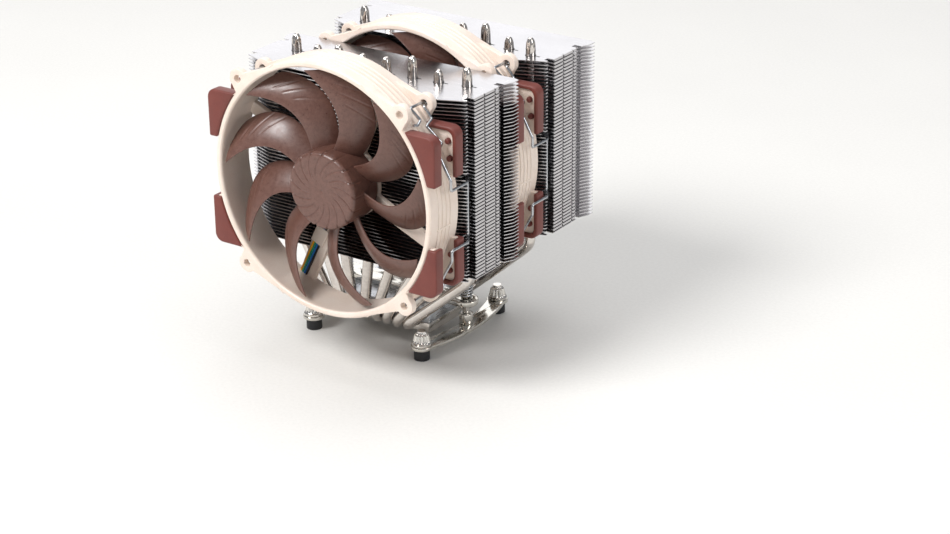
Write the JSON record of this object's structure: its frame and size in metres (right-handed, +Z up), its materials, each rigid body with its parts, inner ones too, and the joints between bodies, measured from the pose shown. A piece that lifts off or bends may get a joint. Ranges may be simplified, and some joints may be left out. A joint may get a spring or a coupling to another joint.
{
  "type": "cpu tower cooler",
  "caption": "Twin-tower processor cooler with two round-framed fans, bent heat pipes, wire fan clips and a spring-screw socket mount.",
  "frame": {"origin": "centre of the cold plate's contact face", "axes": "+Z up from the processor, +Y along the airflow from the front fan to the rear tower, +X to the right seen from the front fan"},
  "size_m": [0.1514, 0.152, 0.1808],
  "materials": {
    "plated_copper": "nickel-plated copper, ground flat",
    "machined_aluminium": "machined and nickel-plated",
    "nickel_steel_turned": "turned steel, bright nickel",
    "nickel_steel_plate": "pressed steel plate, bright nickel",
    "spring_steel": "drawn spring wire",
    "black_nylon": "moulded, matt",
    "plated_pipe": "nickel-plated copper tube, bright",
    "plated_fin": "nickel-plated aluminium sheet, satin",
    "cream_plastic": "glass-filled moulding, matt",
    "brick_rubber": "moulded silicone, matt",
    "brown_plastic": "fibre-filled moulding, satin",
    "rotor_steel": "drawn steel",
    "ferrite": "bonded magnet strip",
    "shaft_steel": "ground and polished",
    "bush_brass": "turned",
    "lamination_steel": "stacked sheet",
    "enamelled_copper": "wound enamelled wire",
    "board_laminate": "glass-epoxy laminate",
    "lead_insulation": "extruded insulation"
  },
  "bodies": {
    "root": {"cold_plate": "plated_copper", "base_cover": "machined_aluminium", "cover_screws": "nickel_steel_turned", "crossbar": "nickel_steel_plate", "left_spring": "spring_steel", "right_spring": "spring_steel", "left_mounting_bar": "nickel_steel_plate", "right_mounting_bar": "nickel_steel_plate", "screw_posts": "nickel_steel_turned", "standoffs": "black_nylon", "thumb_nuts": "nickel_steel_turned", "heat_pipe_1": "plated_pipe", "heat_pipe_2": "plated_pipe", "heat_pipe_3": "plated_pipe", "heat_pipe_4": "plated_pipe", "heat_pipe_5": "plated_pipe", "heat_pipe_6": "plated_pipe", "heat_pipe_7": "plated_pipe", "heat_pipe_8": "plated_pipe", "front_fins": "plated_fin", "front_top_fin": "plated_fin", "rear_fins": "plated_fin", "rear_top_fin": "plated_fin", "front_fan_frame": "cream_plastic", "front_fan_front_pads": "brick_rubber", "front_fan_rear_pads": "brick_rubber", "front_bush": "bush_brass", "front_stator": "lamination_steel", "front_coils": "enamelled_copper", "front_circuit_board": "board_laminate", "front_leads": "lead_insulation", "front_lead_cover": "cream_plastic", "front_clip_ends": "spring_steel", "middle_fan_frame": "cream_plastic", "middle_fan_front_pads": "brick_rubber", "middle_fan_rear_pads": "brick_rubber", "middle_bush": "bush_brass", "middle_stator": "lamination_steel", "middle_coils": "enamelled_copper", "middle_circuit_board": "board_laminate", "middle_leads": "lead_insulation", "middle_lead_cover": "cream_plastic", "middle_clip_ends": "spring_steel"},
    "left_spring_screw": {"left_spring_screw": "nickel_steel_turned"},
    "right_spring_screw": {"right_spring_screw": "nickel_steel_turned"},
    "front_rotor": {"front_impeller": "brown_plastic", "front_rotor_cup": "rotor_steel", "front_magnet": "ferrite", "front_shaft": "shaft_steel"},
    "front_left_clip": {"front_left_clip": "spring_steel"},
    "front_right_clip": {"front_right_clip": "spring_steel"},
    "middle_rotor": {"middle_impeller": "brown_plastic", "middle_rotor_cup": "rotor_steel", "middle_magnet": "ferrite", "middle_shaft": "shaft_steel"},
    "middle_left_clip": {"middle_left_clip": "spring_steel"},
    "middle_right_clip": {"middle_right_clip": "spring_steel"}
  },
  "joints": [
    {"name": "front_fan_spin", "type": "hinge", "parent": "root", "child": "front_rotor", "pos_m": [0.011, -0.076, 0.1023], "axis": [0, 1, 0], "continuous": true},
    {"name": "front_left_clip_swing", "type": "hinge", "parent": "root", "child": "front_left_clip", "pos_m": [-0.0639, -0.0765, 0.0983], "axis": [0, 0, 1], "range_deg": [0, 30], "stiffness_Nm_per_rad": 0.02, "springref_deg": -11.46},
    {"name": "front_right_clip_swing", "type": "hinge", "parent": "root", "child": "front_right_clip", "pos_m": [0.0859, -0.0765, 0.0983], "axis": [0, 0, -1], "range_deg": [0, 30], "stiffness_Nm_per_rad": 0.02, "springref_deg": -11.46},
    {"name": "middle_fan_spin", "type": "hinge", "parent": "root", "child": "middle_rotor", "pos_m": [0.011, 0, 0.1023], "axis": [0, 1, 0], "continuous": true},
    {"name": "middle_left_clip_swing", "type": "hinge", "parent": "root", "child": "middle_left_clip", "pos_m": [-0.0639, -0.0005, 0.0983], "axis": [0, 0, 1], "range_deg": [0, 30], "stiffness_Nm_per_rad": 0.02, "springref_deg": -11.46},
    {"name": "middle_right_clip_swing", "type": "hinge", "parent": "root", "child": "middle_right_clip", "pos_m": [0.0859, -0.0005, 0.0983], "axis": [0, 0, -1], "range_deg": [0, 30], "stiffness_Nm_per_rad": 0.02, "springref_deg": -11.46},
    {"name": "left_screw_travel", "type": "slide", "parent": "root", "child": "left_spring_screw", "axis": [0, 0, 1], "range_m": [0, 0.005], "deforming": ["left_spring"]},
    {"name": "right_screw_travel", "type": "slide", "parent": "root", "child": "right_spring_screw", "axis": [0, 0, 1], "range_m": [0, 0.005], "deforming": ["right_spring"]}
  ]
}
